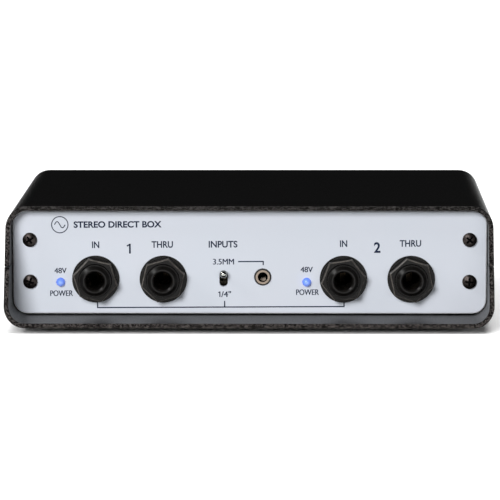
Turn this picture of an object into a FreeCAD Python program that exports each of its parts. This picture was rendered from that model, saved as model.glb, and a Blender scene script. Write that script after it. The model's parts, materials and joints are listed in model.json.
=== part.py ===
# Stereo direct injection box: a split aluminium case with raked ends, two recessed panels,
# four 6.35 mm jacks, a 3.5 mm jack, two indicator lamps, five recessed toggles and two XLR
# outlets, all seated on one circuit board.
#
# Frame: X runs left to right across the front panel, Y runs from front to rear and Z is up.
# The origin is the centre of the footprint, at the underside of the rubber feet.
import FreeCAD, Part
import math
import os

import Sketcher
from FreeCAD import Placement, Rotation, Vector

DIMENSIONS = {
    # case
    "case_width": 172.0,
    "case_depth": 135.0,            # along the underside, the longest run
    "case_height": 41.0,
    "corner_radius": 7.5,
    "side_wall": 1.75,
    "plate_wall": 1.6,              # top and bottom plates
    "rake_run": 16.0,               # how far the underside reaches past the top at each end
    "top_recess": 3.0,              # top edge to panel face
    "seam_rise": 20.5,              # underside to the seam between the shells
    "seam_gap": 0.5,
    "lip_thick": 1.2,               # alignment lip behind the seam
    "lip_drop": 2.5,
    "lip_rise": 2.0,
    "lip_play": 0.1,
    "foot_height": 2.0,
    "foot_radius": 6.0,
    "foot_inset_x": 22.0,
    "foot_inset_y": 26.0,
    # panels and their screws
    "panel_thick": 2.0,
    "panel_side_gap": 0.25,
    "panel_edge_gap": 0.45,
    "panel_corner": 5.0,
    "panel_bevel": 0.35,
    "screw_x": 77.9,
    "screw_low": 13.6,              # heights above the underside of the case
    "screw_high": 28.6,
    "screw_radius": 1.45,
    "screw_play": 0.05,
    "screw_length": 10.0,
    "head_radius": 2.5,
    "head_height": 1.5,
    "head_crown": 0.8,
    "recess_width": 0.75,
    "recess_span": 3.0,
    "recess_depth": 1.25,
    "channel_radius": 3.0,
    "channel_web": 2.0,
    # circuit board and its rails
    "board_thick": 1.6,
    "board_side_gap": 1.1,
    "board_end_gap": 0.5,
    "rail_reach": 3.5,
    "rail_thick": 1.2,
    "rail_play": 0.1,
    "pin_below": 0.8,               # how far pins stand out under the board
    "pin_play": 0.1,
    # 6.35 mm jacks
    "jack_rise": 14.5,
    "input_1_x": -54.6,
    "thru_1_x": -30.6,
    "input_2_x": 33.3,
    "thru_2_x": 57.3,
    "jack_bore": 3.25,
    "jack_width": 16.0,
    "jack_block": 17.0,
    "jack_depth": 24.0,
    "jack_proud": 6.0,
    "bush_radius": 5.65,
    "bush_play": 0.1,
    "bore_run": 6.0,                # bored wall behind the panel, before the contact chamber
    "mouth_bevel": 0.5,
    "nose_radius": 4.2,             # front face of the bushing, outside its taper
    "nose_back_radius": 5.4,
    "nose_length": 1.2,
    "washer_radius": 8.4,
    "washer_step": 7.7,
    "washer_thin": 0.5,
    "washer_thick": 0.9,
    "nut_flats": 14.0,
    "nut_thick": 3.1,
    # how far each nut happened to be turned when it came tight, in degrees
    "nut_turn_1": 47.0,
    "nut_turn_2": 16.0,
    "nut_turn_3": 8.5,
    "nut_turn_4": 42.0,
    # 3.5 mm jack
    "mini_x": 4.7,
    "mini_rise": 15.2,
    "mini_bore": 1.8,
    "mini_ring": 2.5,
    "mini_ring_length": 2.4,
    "mini_bore_run": 1.0,           # bored wall behind the panel, before the contact chamber
    "mini_barrel": 3.0,
    "mini_hole": 3.1,
    "mini_width": 9.0,
    "mini_depth": 12.0,
    # lamps
    "lamp_1_x": -67.1,
    "lamp_2_x": 20.3,
    "lamp_rise": 13.35,
    "lamp_radius": 1.5,
    "lamp_proud": 1.8,
    "lamp_play": 0.1,
    "lamp_flange": 1.9,
    "flange_gap": 0.15,
    "lead_half": 0.25,
    "lead_pitch": 1.27,
    # toggles
    "toggle_rise": 14.65,
    "selector_x": -9.2,
    "slot_width": 3.0,
    "slot_height": 5.9,
    "lever_pivot": 5.5,             # behind the panel's outer face
    "lever_reach": 7.5,             # pivot to the centre of the tip
    "lever_tip": 1.4,
    "lever_ball": 1.5,
    "lever_shaft": 0.8,
    "lever_pin": 0.4,               # cross pin through the ball
    "lever_pin_half": 2.2,
    "lever_tail": 3.5,
    "tail_radius": 0.5,
    "lever_throw": 14.2,            # degrees each side of straight
    "ball_play": 0.05,
    "toggle_width": 7.8,
    "toggle_top": 5.2,
    "toggle_front": 6.5,
    "toggle_back": 14.5,
    "rocker_pivot": 10.6,
    "rocker_throw": 10.0,
    # XLR outlets
    "outlet_x": 44.0,
    "outlet_rise": 20.5,
    "outlet_width": 26.0,
    "outlet_tall": 31.0,
    "flange_thick": 2.2,
    "flange_corner": 3.5,
    "outlet_bore": 8.15,
    "outlet_tube": 11.8,
    "outlet_hole": 12.0,
    "insert_radius": 9.45,
    "insert_play": 0.05,
    "insert_front": 10.0,
    "outlet_back": 18.0,
    "outlet_screw_x": 9.5,
    "outlet_screw_z": 12.0,
    "contact_radius": 1.2,
    # rear toggles, measured from their outlet, seen from behind
    "lift_offset": -24.0,
    "pad_offset": 24.0,
    # parts on the board
    "transformer_x": 46.0,
    "core_width": 28.0,
    "core_deep": 16.0,
    "core_tall": 23.0,
    "limb_half": 4.5,
    "window_wide": 5.0,
    "yoke_tall": 4.5,
    "winding_deep": 24.0,
    "can_radius": 4.0,
    "can_height": 11.0,
    "can_pitch": 10.0,
}


class Measure:
    """A size that knows its value and the sheet expression that gives it."""

    def __init__(self, value, text):
        self.value = value
        self.text = text

    def __add__(self, other):
        other = measure(other)
        return Measure(self.value + other.value, f"({self.text} + {other.text})")

    def __radd__(self, other):
        return measure(other) + self

    def __sub__(self, other):
        other = measure(other)
        return Measure(self.value - other.value, f"({self.text} - {other.text})")

    def __rsub__(self, other):
        return measure(other) - self

    def __mul__(self, other):
        other = measure(other)
        return Measure(self.value * other.value, f"({self.text} * {other.text})")

    def __rmul__(self, other):
        return measure(other) * self

    def __truediv__(self, other):
        other = measure(other)
        return Measure(self.value / other.value, f"({self.text} / {other.text})")

    def __neg__(self):
        return self * -1


class Dims:
    """The driving dimensions, one attribute each."""


def measure(number):
    """Give a plain number the same form as a size from the sheet."""
    if isinstance(number, Measure):
        return number
    return Measure(float(number), f"({float(number)})")


def fill_sheet(document):
    sheet = document.addObject("Spreadsheet::Sheet", "Dims")
    for row, (name, value) in enumerate(DIMENSIONS.items(), start=1):
        sheet.set(f"A{row}", name)
        sheet.set(f"B{row}", str(value))
        sheet.setAlias(f"B{row}", name)
        setattr(Dims, name, Measure(value, f"Dims.{name}"))
    document.recompute()


document = FreeCAD.newDocument("direct_box")
fill_sheet(document)
dims = Dims
nodes = []

ALONG = {
    "X": Rotation(Vector(0, 1, 0), 90),
    "Y": Rotation(Vector(1, 0, 0), -90),
    "Z": Rotation(),
}
HALF_TURN = Rotation(Vector(0, 0, 1), 180)
PAST = 1.0                      # how far a cutting tool runs past the face that it cuts


# ---------------------------------------------------------------- helpers

def put(piece, at, turn=None):
    """Turn a piece, then bind its position to the sheet."""
    if turn is not None:
        piece.Placement = Placement(Vector(), turn)
    for letter, distance in zip("xyz", at):
        piece.setExpression(f"Placement.Base.{letter}", measure(distance).text)
    return piece


def solid(kind, name, sizes, at, turn=None):
    piece = document.addObject(kind, name)
    for size_name, value in sizes.items():
        piece.setExpression(size_name, measure(value).text)
    return put(piece, at, turn)


def block(name, low, high):
    spans = [measure(far) - near for near, far in zip(low, high)]
    return solid("Part::Box", name, dict(zip(("Length", "Width", "Height"), spans)), low)


def side_block(name, side, near, far, low_yz, high_yz):
    """A block between two distances from the middle plane, on the left (-1) or right (1)."""
    left, right = (near, far) if side > 0 else (-measure(far), -measure(near))
    return block(name, (left, *low_yz), (right, *high_yz))


def rod(name, radius, length, at, along="Y"):
    return solid("Part::Cylinder", name, {"Radius": radius, "Height": length}, at, ALONG[along])


def taper(name, radius, far_radius, length, at, along="Y"):
    sizes = {"Radius1": radius, "Radius2": far_radius, "Height": length}
    return solid("Part::Cone", name, sizes, at, ALONG[along])


def ball(name, radius, at):
    """A ball whose poles lie along Y, as the turned pieces do."""
    return solid("Part::Sphere", name, {"Radius": radius}, at, ALONG["Y"])


def fuse(name, *pieces):
    joined = document.addObject("Part::MultiFuse", name)
    joined.Shapes = list(pieces)
    return joined


def cut(name, base, *tools):
    result = document.addObject("Part::Cut", name)
    result.Base = base
    result.Tool = tools[0] if len(tools) == 1 else fuse(name + "_tools", *tools)
    return result


def common(name, first, second):
    result = document.addObject("Part::Common", name)
    result.Base = first
    result.Tool = second
    return result


def group(name, *pieces):
    """Separate solids that share one node, or one piece that keeps a turn of its own."""
    result = document.addObject("Part::Compound", name)
    result.Links = list(pieces)
    return result


def node(piece):
    nodes.append(piece)
    return piece


def new_sketch(body, name, plane):
    sketch = body.newObject("Sketcher::SketchObject", name)
    planes = {feature.Role: feature for feature in body.Origin.OriginFeatures}
    sketch.AttachmentSupport = [(planes[plane], "")]
    sketch.MapMode = "FlatFace"
    return sketch


def bind(sketch, kind, *where, size):
    """Add a dimension to a sketch and bind it to the sheet."""
    index = sketch.addConstraint(Sketcher.Constraint(kind, *where, size.value))
    sketch.setExpression(f"Constraints[{index}]", size.text)


def pin_down(sketch, edge, end, point):
    """Fix one end of a sketch edge by its distances from the sketch's origin."""
    bind(sketch, "DistanceX", -1, 1, edge, end, size=point[0])
    bind(sketch, "DistanceY", -1, 1, edge, end, size=point[1])


def shifted(point, direction, distance):
    """Move a sketch point along an axis-aligned direction."""
    return tuple(
        place + distance * step if step else place for place, step in zip(point, direction)
    )


def flat(point):
    return Vector(point[0].value, point[1].value, 0)


def heading(start, end):
    """The unit direction of an axis-aligned run."""
    run = flat(end) - flat(start)
    return tuple(round(part / run.Length) for part in (run.x, run.y))


def draw_outline(sketch, corners):
    """Draw a closed outline; each corner is (x, y, rounding), the rounding 0 when sharp."""
    points = [(measure(x), measure(y)) for x, y, _ in corners]
    runs = []
    for index, (_, _, rounding) in enumerate(corners):
        corner = points[index]
        if not measure(rounding).value:
            runs.append(("corner", corner))
            continue
        into = heading(points[index - 1], corner)
        out = heading(corner, points[(index + 1) % len(points)])
        back = tuple(-step for step in into)
        entry = shifted(corner, back, rounding)
        leave = shifted(corner, out, rounding)
        centre = shifted(entry, out, rounding)
        runs.append(("round", entry, leave, centre, rounding))
    edges = []
    for index, run in enumerate(runs):
        start = run[2] if run[0] == "round" else run[1]
        following = runs[(index + 1) % len(runs)]
        if run[0] == "round":
            edges.append(draw_round(sketch, run))
        line = sketch.addGeometry(Part.LineSegment(flat(start), flat(following[1])))
        pin_down(sketch, line, 1, start)
        edges.append((line, 1, 2))
    for (edge, _, end), (after, start, _) in zip(edges, edges[1:] + edges[:1]):
        sketch.addConstraint(Sketcher.Constraint("Coincident", edge, end, after, start))


def draw_round(sketch, run):
    """Add one rounded corner; gives the edge and which of its ends comes first."""
    _, entry, leave, centre, rounding = run
    first = flat(entry) - flat(centre)
    last = flat(leave) - flat(centre)
    forwards = first.x * last.y - first.y * last.x > 0
    ends = (first, last) if forwards else (last, first)
    circle = Part.Circle(flat(centre), Vector(0, 0, 1), rounding.value)
    angles = [circle.parameter(flat(centre) + end) for end in ends]
    if angles[1] < angles[0]:
        angles[1] += 2 * math.pi
    arc = sketch.addGeometry(Part.ArcOfCircle(circle, *angles))
    start, end = (1, 2) if forwards else (2, 1)
    pin_down(sketch, arc, start, entry)
    bind(sketch, "Radius", arc, size=rounding)
    return arc, start, end


def padded_outline(name, plane, corners, thickness, symmetric=False, reverse=False):
    """A PartDesign body made by padding one closed outline."""
    body = document.addObject("PartDesign::Body", name)
    sketch = new_sketch(body, name + "_outline", plane)
    draw_outline(sketch, corners)
    pad = body.newObject("PartDesign::Pad", name + "_pad")
    pad.Profile = sketch
    pad.setExpression("Length", measure(thickness).text)
    pad.SideType = "Symmetric" if symmetric else "One side"
    pad.Reversed = reverse
    sketch.Visibility = False
    document.recompute()
    return body


def strip(name, width, corners):
    """A bent metal strip: its side view is an outline in the YZ plane."""
    sharp = [(y, z, 0) for y, z in corners]
    return padded_outline(name, "YZ_Plane", sharp, width, symmetric=True)


# ---------------------------------------------------------------- places worked out once

half_width = dims.case_width / 2
half_depth = dims.case_depth / 2
inner_x = half_width - dims.side_wall
case_top = dims.foot_height + dims.case_height
seam = dims.foot_height + dims.seam_rise
panel_face = half_depth - dims.rake_run - dims.top_recess
panel_back = panel_face - dims.panel_thick
board_top = dims.foot_height + dims.jack_rise - dims.jack_block / 2
board_low = board_top - dims.board_thick
channel_bore = dims.screw_radius + dims.screw_play


def height(rise):
    """Height in the frame of something measured up from the underside of the case."""
    return dims.foot_height + rise


def seat(piece, x, z, rear=False):
    """Put a piece drawn about its own axis, with the panel's outer face at y = 0, in place.

    Rear pieces are drawn as they look from behind, so they are turned round with the panel.
    """
    if rear:
        return put(piece, (-x, panel_face, z), HALF_TURN)
    return put(piece, (x, -panel_face, z))


# ---------------------------------------------------------------- case

def shell_body(name, edge, plate, side):
    """A shell with its plate at height `plate`, its side walls running to height `edge`."""
    inner_plate = plate + dims.plate_wall * side
    inner_radius = dims.corner_radius - dims.side_wall
    corners = [
        (-half_width, edge, 0),
        (-half_width, plate, dims.corner_radius),
        (half_width, plate, dims.corner_radius),
        (half_width, edge, 0),
        (inner_x, edge, 0),
        (inner_x, inner_plate, inner_radius),
        (-inner_x, inner_plate, inner_radius),
        (-inner_x, edge, 0),
    ]
    body = padded_outline(name + "_walls", "XZ_Plane", corners, dims.case_depth, symmetric=True)
    for end, facing in (("front", -1), ("rear", 1)):
        before = body.Shape.Volume
        trim_end(body, f"{name}_{end}_rake", facing)
        if body.Shape.Volume > before - 1:
            raise RuntimeError(f"{name}: the {end} rake cut nothing")
    return body


def trim_end(body, name, facing):
    """Cut one end of a shell to the rake, from the underside's end back to the top's end."""
    margin = 5
    lean = dims.rake_run / dims.case_height
    low_end = half_depth + lean * margin
    high_end = half_depth - dims.rake_run - lean * margin
    beyond = half_depth + 2 * margin
    corners = [
        (low_end * facing, dims.foot_height - margin, 0),
        (beyond * facing, dims.foot_height - margin, 0),
        (beyond * facing, case_top + margin, 0),
        (high_end * facing, case_top + margin, 0),
    ]
    sketch = new_sketch(body, name, "YZ_Plane")
    draw_outline(sketch, corners)
    pocket = body.newObject("PartDesign::Pocket", name + "_cut")
    pocket.Profile = sketch
    pocket.setExpression("Length", (dims.case_width * 2).text)
    pocket.SideType = "Symmetric"
    sketch.Visibility = False
    document.recompute()


def screw_channels(name, rise):
    """The pair of bored channels that the panel screws run into, with the webs that hold them."""
    pieces = []
    bores = []
    for side in (-1, 1):
        label = f"{name}_channel_{side + 2}"
        start = (dims.screw_x * side, -panel_back, height(rise))
        pieces.append(rod(label, dims.channel_radius, panel_back * 2, start))
        pieces.append(side_block(
            label + "_web", side, dims.screw_x, half_width - dims.side_wall / 2,
            (-panel_back, height(rise) - dims.channel_web / 2),
            (panel_back, height(rise) + dims.channel_web / 2),
        ))
        bores.append(rod(label + "_bore", channel_bore, panel_back * 2, start))
    return pieces, bores


def rails(side):
    """Two ribs on a side wall that hold the edge of the circuit board."""
    ribs = []
    levels = {
        "lower": (board_low - dims.rail_thick, board_low),
        "upper": (board_top + dims.rail_play, board_top + dims.rail_play + dims.rail_thick),
    }
    for label, (low, high) in levels.items():
        ribs.append(side_block(
            f"rail_{label}_{side + 2}", side, inner_x - dims.rail_reach,
            half_width - dims.side_wall / 2, (-panel_back, low), (panel_back, high),
        ))
    return ribs


def alignment_lip(side):
    """A lip behind the seam that keeps the top shell's wall in line."""
    lip_face = inner_x - dims.lip_play
    inner_face = lip_face - dims.lip_thick
    wall_top = seam - dims.seam_gap / 2
    root = side_block(
        f"lip_root_{side + 2}", side, inner_face, half_width - dims.side_wall / 2,
        (-panel_back, wall_top - dims.lip_drop), (panel_back, wall_top),
    )
    tongue = side_block(
        f"lip_tongue_{side + 2}", side, inner_face, lip_face,
        (-panel_back, wall_top - dims.lip_drop), (panel_back, seam + dims.lip_rise),
    )
    return [root, tongue]


def inside_case(name, *pieces):
    """Trim ribs that run into the walls to the case's outer shape."""
    corners = [
        (-half_width, dims.foot_height, dims.corner_radius),
        (half_width, dims.foot_height, dims.corner_radius),
        (half_width, case_top, dims.corner_radius),
        (-half_width, case_top, dims.corner_radius),
    ]
    envelope = padded_outline(name + "_envelope", "XZ_Plane", corners, dims.case_depth,
                              symmetric=True)
    return common(name, fuse(name + "_untrimmed", *pieces), envelope)


def make_case():
    half_gap = dims.seam_gap / 2
    walls = shell_body("top_shell", seam + half_gap, case_top, -1)
    channels, bores = screw_channels("top", dims.screw_high)
    ribs = inside_case("top_shell_ribs", *channels)
    node(cut("top_shell", fuse("top_shell_solid", walls, ribs), *bores))

    walls = shell_body("bottom_shell", seam - half_gap, dims.foot_height, 1)
    channels, bores = screw_channels("bottom", dims.screw_low)
    ribs = inside_case("bottom_shell_ribs", *channels, *rails(-1), *rails(1),
                       *alignment_lip(-1), *alignment_lip(1))
    node(cut("bottom_shell", fuse("bottom_shell_solid", walls, ribs), *bores))


def make_feet():
    foot_taper = 0.85
    feet = []
    for side in (-1, 1):
        for end in (-1, 1):
            at = ((half_width - dims.foot_inset_x) * side, (half_depth - dims.foot_inset_y) * end, 0)
            name = f"foot_{side + 2}_{end + 2}"
            feet.append(taper(name, dims.foot_radius * foot_taper, dims.foot_radius,
                              dims.foot_height, at, "Z"))
    node(group("rubber_feet", *feet))


# ---------------------------------------------------------------- panels

def panel_blank(name):
    """A flat plate with rounded corners and a fine bevel round its outer face."""
    reach = inner_x - dims.panel_side_gap
    low = dims.foot_height + dims.plate_wall + dims.panel_edge_gap
    high = case_top - dims.plate_wall - dims.panel_edge_gap
    corners = [
        (-reach, low, dims.panel_corner),
        (reach, low, dims.panel_corner),
        (reach, high, dims.panel_corner),
        (-reach, high, dims.panel_corner),
    ]
    body = padded_outline(name + "_plate", "XZ_Plane", corners, dims.panel_thick, reverse=True)
    pad = body.Tip
    outer = [
        f"Edge{index}" for index, edge in enumerate(pad.Shape.Edges, start=1)
        if edge.BoundBox.YMax < 0.001
    ]
    bevel = body.newObject("PartDesign::Chamfer", name + "_bevel")
    bevel.Base = (pad, outer)
    bevel.setExpression("Size", dims.panel_bevel.text)
    document.recompute()
    return body


def panel_hole(name, radius, x, z):
    return rod(name, radius, dims.panel_thick + PAST * 2, (x, -PAST, z))


def slot_hole(name, x, z):
    """A vertical slot with round ends for a toggle lever."""
    radius = dims.slot_width / 2
    straight = dims.slot_height / 2 - radius
    ends = [panel_hole(f"{name}_{label}", radius, x, z + straight * way)
            for label, way in (("low", -1), ("high", 1))]
    middle = block(
        name + "_middle", (x - radius, -PAST, z - straight),
        (x + radius, dims.panel_thick + PAST, z + straight),
    )
    return [*ends, middle]


def screw_places():
    return [(dims.screw_x * side, height(rise))
            for side in (-1, 1) for rise in (dims.screw_low, dims.screw_high)]


def screw_holes(name):
    return [panel_hole(f"{name}_screw_{index}", channel_bore, x, z)
            for index, (x, z) in enumerate(screw_places(), start=1)]


def make_front_panel():
    holes = screw_holes("front")
    for name, (x, _) in JACKS.items():
        holes.append(panel_hole(name + "_hole", dims.bush_radius + dims.bush_play, x,
                                height(dims.jack_rise)))
    for name, x in LAMPS.items():
        holes.append(panel_hole(name + "_hole", dims.lamp_radius + dims.lamp_play, x,
                                height(dims.lamp_rise)))
    holes.append(panel_hole("mini_panel_hole", dims.mini_hole, dims.mini_x, height(dims.mini_rise)))
    holes += slot_hole("selector_slot", dims.selector_x, height(dims.toggle_rise))
    node(seat(cut("front_panel", panel_blank("front"), *holes), measure(0), 0))


def make_rear_panel():
    holes = screw_holes("rear")
    for name, x in OUTLETS.items():
        z = height(dims.outlet_rise)
        holes.append(panel_hole(name + "_hole", dims.outlet_hole, x, z))
        for side in (-1, 1):
            holes.append(panel_hole(f"{name}_fixing_{side + 2}", channel_bore,
                                    x + dims.outlet_screw_x * side, z - dims.outlet_screw_z * side))
    for name, x in REAR_TOGGLES.items():
        holes += slot_hole(name + "_slot", x, height(dims.toggle_rise))
    node(seat(cut("rear_panel", panel_blank("rear"), *holes), measure(0), 0, rear=True))


def screw(name, turn, length):
    """A pan-head screw with a cross recess, its head's underside at y = 0."""
    crown_radius = (dims.head_radius * dims.head_radius + dims.head_crown * dims.head_crown) \
        / (dims.head_crown * 2)
    disc = rod(name + "_disc", dims.head_radius, dims.head_height + PAST,
               (0, -dims.head_height - PAST, 0))
    crown = ball(name + "_crown", crown_radius, (0, crown_radius - dims.head_height, 0))
    head = common(name + "_head", disc, crown)
    root = (dims.head_height - dims.recess_depth) / 2
    shank = rod(name + "_shank", dims.screw_radius, length + root, (0, -root, 0))
    half_slot = dims.recess_width / 2
    half_span = dims.recess_span / 2
    slots = []
    for index, (across, up) in enumerate(((half_span, half_slot), (half_slot, half_span))):
        slots.append(block(
            f"{name}_slot_{index}", (-across, -dims.head_height - PAST, -up),
            (across, dims.recess_depth - dims.head_height, up),
        ))
    recessed = cut(name + "_recessed", fuse(name + "_solid", head, shank), *slots)
    recessed.Placement = Placement(Vector(), Rotation(Vector(0, 1, 0), turn))
    return group(name, recessed)


def make_panel_screws():
    first_turn = 20
    next_turn = 37              # each screw came tight at a turn of its own
    for end, rear in (("front", False), ("rear", True)):
        screws = []
        for index, (x, z) in enumerate(screw_places()):
            name = f"{end}_screw_{index}"
            turned = screw(name, first_turn + next_turn * index, dims.screw_length)
            screws.append(seat(turned, x, z, rear))
        node(group(f"{end}_panel_screws", *screws))


# ---------------------------------------------------------------- 6.35 mm jacks

JACKS = {
    "input_1": (dims.input_1_x, dims.nut_turn_1),
    "thru_1": (dims.thru_1_x, dims.nut_turn_2),
    "input_2": (dims.input_2_x, dims.nut_turn_3),
    "thru_2": (dims.thru_2_x, dims.nut_turn_4),
}
LAMPS = {"lamp_1": dims.lamp_1_x, "lamp_2": dims.lamp_2_x}
OUTLETS = {"outlet_1": dims.outlet_x, "outlet_2": -dims.outlet_x}
REAR_TOGGLES = {
    f"{role}_{channel}": OUTLETS[f"outlet_{channel}"] + offset
    for channel in (1, 2)
    for role, offset in (("lift", dims.lift_offset), ("pad", dims.pad_offset))
}

# distances behind the panel's outer face, and the sizes of the contact chamber and its springs
chamber_start = dims.panel_thick + dims.bore_run
chamber_end = dims.panel_thick + dims.jack_depth - 2.0
chamber_half = 5.0
chamber_floor = 3.0
chamber_roof = 2.0
tip_lug = chamber_end - 1.2
sleeve_lug = chamber_start + 0.8
lug_thick = 0.4
lug_half = 1.0
spring_press = 0.2              # how far the springs stand into the plug's path


def lug_slot(name, y, low, high):
    """The opening that a spring's lug passes down through, in a frame about the jack's axis."""
    return block(
        name, (-lug_half - dims.pin_play, y - dims.pin_play, low),
        (lug_half + dims.pin_play, y + lug_thick + dims.pin_play, high),
    )


def jack_body(name):
    """A block behind the panel, with a bored bushing whose nose tapers in front of its thread."""
    half = dims.jack_width / 2
    half_tall = dims.jack_block / 2
    box = block(name + "_box", (-half, dims.panel_thick, -half_tall),
                (half, dims.panel_thick + dims.jack_depth, half_tall))
    front = -dims.jack_proud
    nose = taper(name + "_nose", dims.nose_radius, dims.nose_back_radius, dims.nose_length,
                 (0, front, 0))
    bush = rod(name + "_bush", dims.bush_radius,
               dims.jack_proud - dims.nose_length + dims.panel_thick + PAST,
               (0, front + dims.nose_length, 0))
    bore = rod(name + "_bore", dims.jack_bore, dims.jack_proud + chamber_start + PAST,
               (0, front, 0))
    mouth = taper(name + "_mouth", dims.jack_bore + dims.mouth_bevel, dims.jack_bore,
                  dims.mouth_bevel, (0, front, 0))
    chamber = block(name + "_chamber", (-chamber_half, chamber_start, chamber_floor - half_tall),
                    (chamber_half, chamber_end, half_tall - chamber_roof))
    slots = [lug_slot(f"{name}_{label}_slot", y, -half_tall - PAST,
                      chamber_floor + PAST - half_tall)
             for label, y in (("tip", tip_lug), ("sleeve", sleeve_lug))]
    return cut(name, fuse(name + "_solid", box, bush, nose), bore, mouth, chamber, *slots)


def jack_springs(name):
    """The tip and sleeve springs: bent strips whose lugs go down through the board."""
    foot = -dims.jack_block / 2 - dims.board_thick - dims.pin_below
    touch = dims.jack_bore - spring_press
    arm = dims.jack_block / 2 - chamber_roof - 1.1
    hump = tip_lug - 7.2
    end = tip_lug - 9.2
    flare = 1.2
    thick = 0.5
    tip = strip(name + "_tip_spring", lug_half * 2, [
        (tip_lug + lug_thick, foot),
        (tip_lug + lug_thick, arm),
        (hump, touch + thick),
        (end, touch + flare + thick),
        (end, touch + flare),
        (hump, touch),
        (tip_lug, arm - thick),
        (tip_lug, foot),
    ])
    hump = sleeve_lug + 4.4
    end = sleeve_lug + 5.9
    root = 1.1
    flare = 1.3
    thick = 0.4
    sleeve = strip(name + "_sleeve_spring", lug_half * 2, [
        (sleeve_lug, foot),
        (sleeve_lug, -touch - root),
        (hump, -touch),
        (end, -touch - flare),
        (end, -touch - flare - thick),
        (hump, -touch - thick),
        (sleeve_lug + lug_thick, -touch - root - thick),
        (sleeve_lug + lug_thick, foot),
    ])
    return group(name, tip, sleeve)


def jack_washer(name):
    """A flanged washer: a thin rim and a thicker middle."""
    thin = rod(name + "_rim", dims.washer_radius, dims.washer_thin, (0, -dims.washer_thin, 0))
    thick = rod(name + "_middle", dims.washer_step, dims.washer_thick, (0, -dims.washer_thick, 0))
    hole = rod(name + "_hole", dims.bush_radius + dims.bush_play, dims.washer_thick + PAST * 2,
               (0, -dims.washer_thick - PAST, 0))
    return cut(name, fuse(name + "_solid", thin, thick), hole)


def jack_nut(name, turn):
    """A hexagonal nut, seated on the washer and turned about its axis."""
    front = -dims.washer_thick - dims.nut_thick
    hexagon = document.addObject("Part::Prism", name + "_hexagon")
    hexagon.Polygon = 6
    hexagon.setExpression("Circumradius", (dims.nut_flats / (3 ** 0.5)).text)
    hexagon.setExpression("Height", dims.nut_thick.text)
    put(hexagon, (0, front, 0), Rotation(Vector(0, 1, 0), -turn.value) * ALONG["Y"])
    thread = rod(name + "_thread", dims.bush_radius + dims.screw_play, dims.nut_thick + PAST * 2,
                 (0, front - PAST, 0))
    return cut(name, hexagon, thread)


def make_jacks():
    z = height(dims.jack_rise)
    nuts = []
    for name, (x, turn) in JACKS.items():
        node(seat(jack_body(f"{name}_jack"), x, z))
        node(seat(jack_springs(f"{name}_springs"), x, z))
        node(seat(jack_washer(f"{name}_washer"), x, z))
        nuts.append(seat(jack_nut(f"{name}_nut", turn), x, z))
    node(group("jack_nuts", *nuts))


# ---------------------------------------------------------------- 3.5 mm jack

mini_proud = 0.2
mini_ring_proud = 0.3
mini_chamber_start = dims.panel_thick + dims.mini_bore_run
mini_chamber_half = 3.0
mini_back_wall = 1.5
mini_lug = dims.panel_thick + dims.mini_depth - 3.0
mini_half_lug = 1.0


def make_mini_jack():
    z = height(dims.mini_rise)
    floor = board_top - z
    half = dims.mini_width / 2
    back = dims.panel_thick + dims.mini_depth
    box = block("mini_box", (-half, dims.panel_thick, floor), (half, back, half))
    barrel = rod("mini_barrel", dims.mini_barrel, dims.panel_thick + mini_proud + PAST,
                 (0, -mini_proud, 0))
    ring_seat = rod("mini_ring_seat", dims.mini_ring, dims.mini_ring_length, (0, -mini_proud, 0))
    bore = rod("mini_bore", dims.mini_bore, mini_chamber_start + mini_proud + PAST,
               (0, -mini_proud, 0))
    chamber = block("mini_chamber", (-mini_chamber_half, mini_chamber_start, -mini_chamber_half),
                    (mini_chamber_half, back - mini_back_wall, mini_chamber_half))
    lug_gap = block(
        "mini_lug_gap", (-mini_half_lug - dims.pin_play, mini_lug - dims.pin_play, floor - PAST),
        (mini_half_lug + dims.pin_play, mini_lug + lug_thick + dims.pin_play,
         PAST - mini_chamber_half),
    )
    body = cut("mini_jack_body", fuse("mini_solid", box, barrel), ring_seat, bore, chamber, lug_gap)
    node(seat(body, dims.mini_x, z))

    ring = cut(
        "mini_jack_ring",
        rod("mini_ring_outer", dims.mini_ring, dims.mini_ring_length, (0, -mini_ring_proud, 0)),
        rod("mini_ring_inner", dims.mini_bore, dims.mini_ring_length + PAST * 2,
            (0, -mini_ring_proud - PAST, 0)),
    )
    node(seat(ring, dims.mini_x, z))
    node(seat(group("mini_jack_spring", mini_spring(floor)), dims.mini_x, z))


def mini_spring(floor):
    """A bent strip that stands up behind the bore, with a lug down through the board."""
    foot = floor - dims.board_thick - dims.pin_below
    touch = -1.0
    root = -1.2
    hump = mini_chamber_start + 2.0
    end = mini_chamber_start + 0.5
    flare = 1.1
    return strip("mini_spring_strip", mini_half_lug * 2, [
        (mini_lug, foot),
        (mini_lug, root - lug_thick),
        (hump, touch - lug_thick),
        (end, touch - flare - lug_thick),
        (end, touch - flare),
        (hump, touch),
        (mini_lug + lug_thick, root),
        (mini_lug + lug_thick, foot),
    ])


# ---------------------------------------------------------------- lamps

flange_deep = 1.0
lamp_back = dims.panel_thick + dims.flange_gap + flange_deep
lead_run = 3.25                 # straight back from the lamp before the wire turns down
lead_drop = lamp_back + lead_run


def lamp_body(name):
    """A round lamp with a domed front, and a flange behind the panel."""
    centre = dims.lamp_radius - dims.lamp_proud
    dome = ball(name + "_dome", dims.lamp_radius, (0, centre, 0))
    barrel = rod(name + "_barrel", dims.lamp_radius, lamp_back - centre, (0, centre, 0))
    flange = rod(name + "_flange", dims.lamp_flange, flange_deep, (0, lamp_back - flange_deep, 0))
    return fuse(name, dome, barrel, flange)


def lamp_lead(name, side):
    """A wire straight back from the lamp, then down through the board."""
    low_x = dims.lead_pitch * side - dims.lead_half
    high_x = dims.lead_pitch * side + dims.lead_half
    foot = board_low - dims.pin_below - height(dims.lamp_rise)
    run = block(name + "_run", (low_x, lamp_back, -dims.lead_half),
                (high_x, lead_drop, dims.lead_half))
    drop = block(name + "_drop", (low_x, lead_drop - dims.lead_half * 2, foot),
                 (high_x, lead_drop, dims.lead_half))
    return fuse(name, run, drop)


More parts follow.
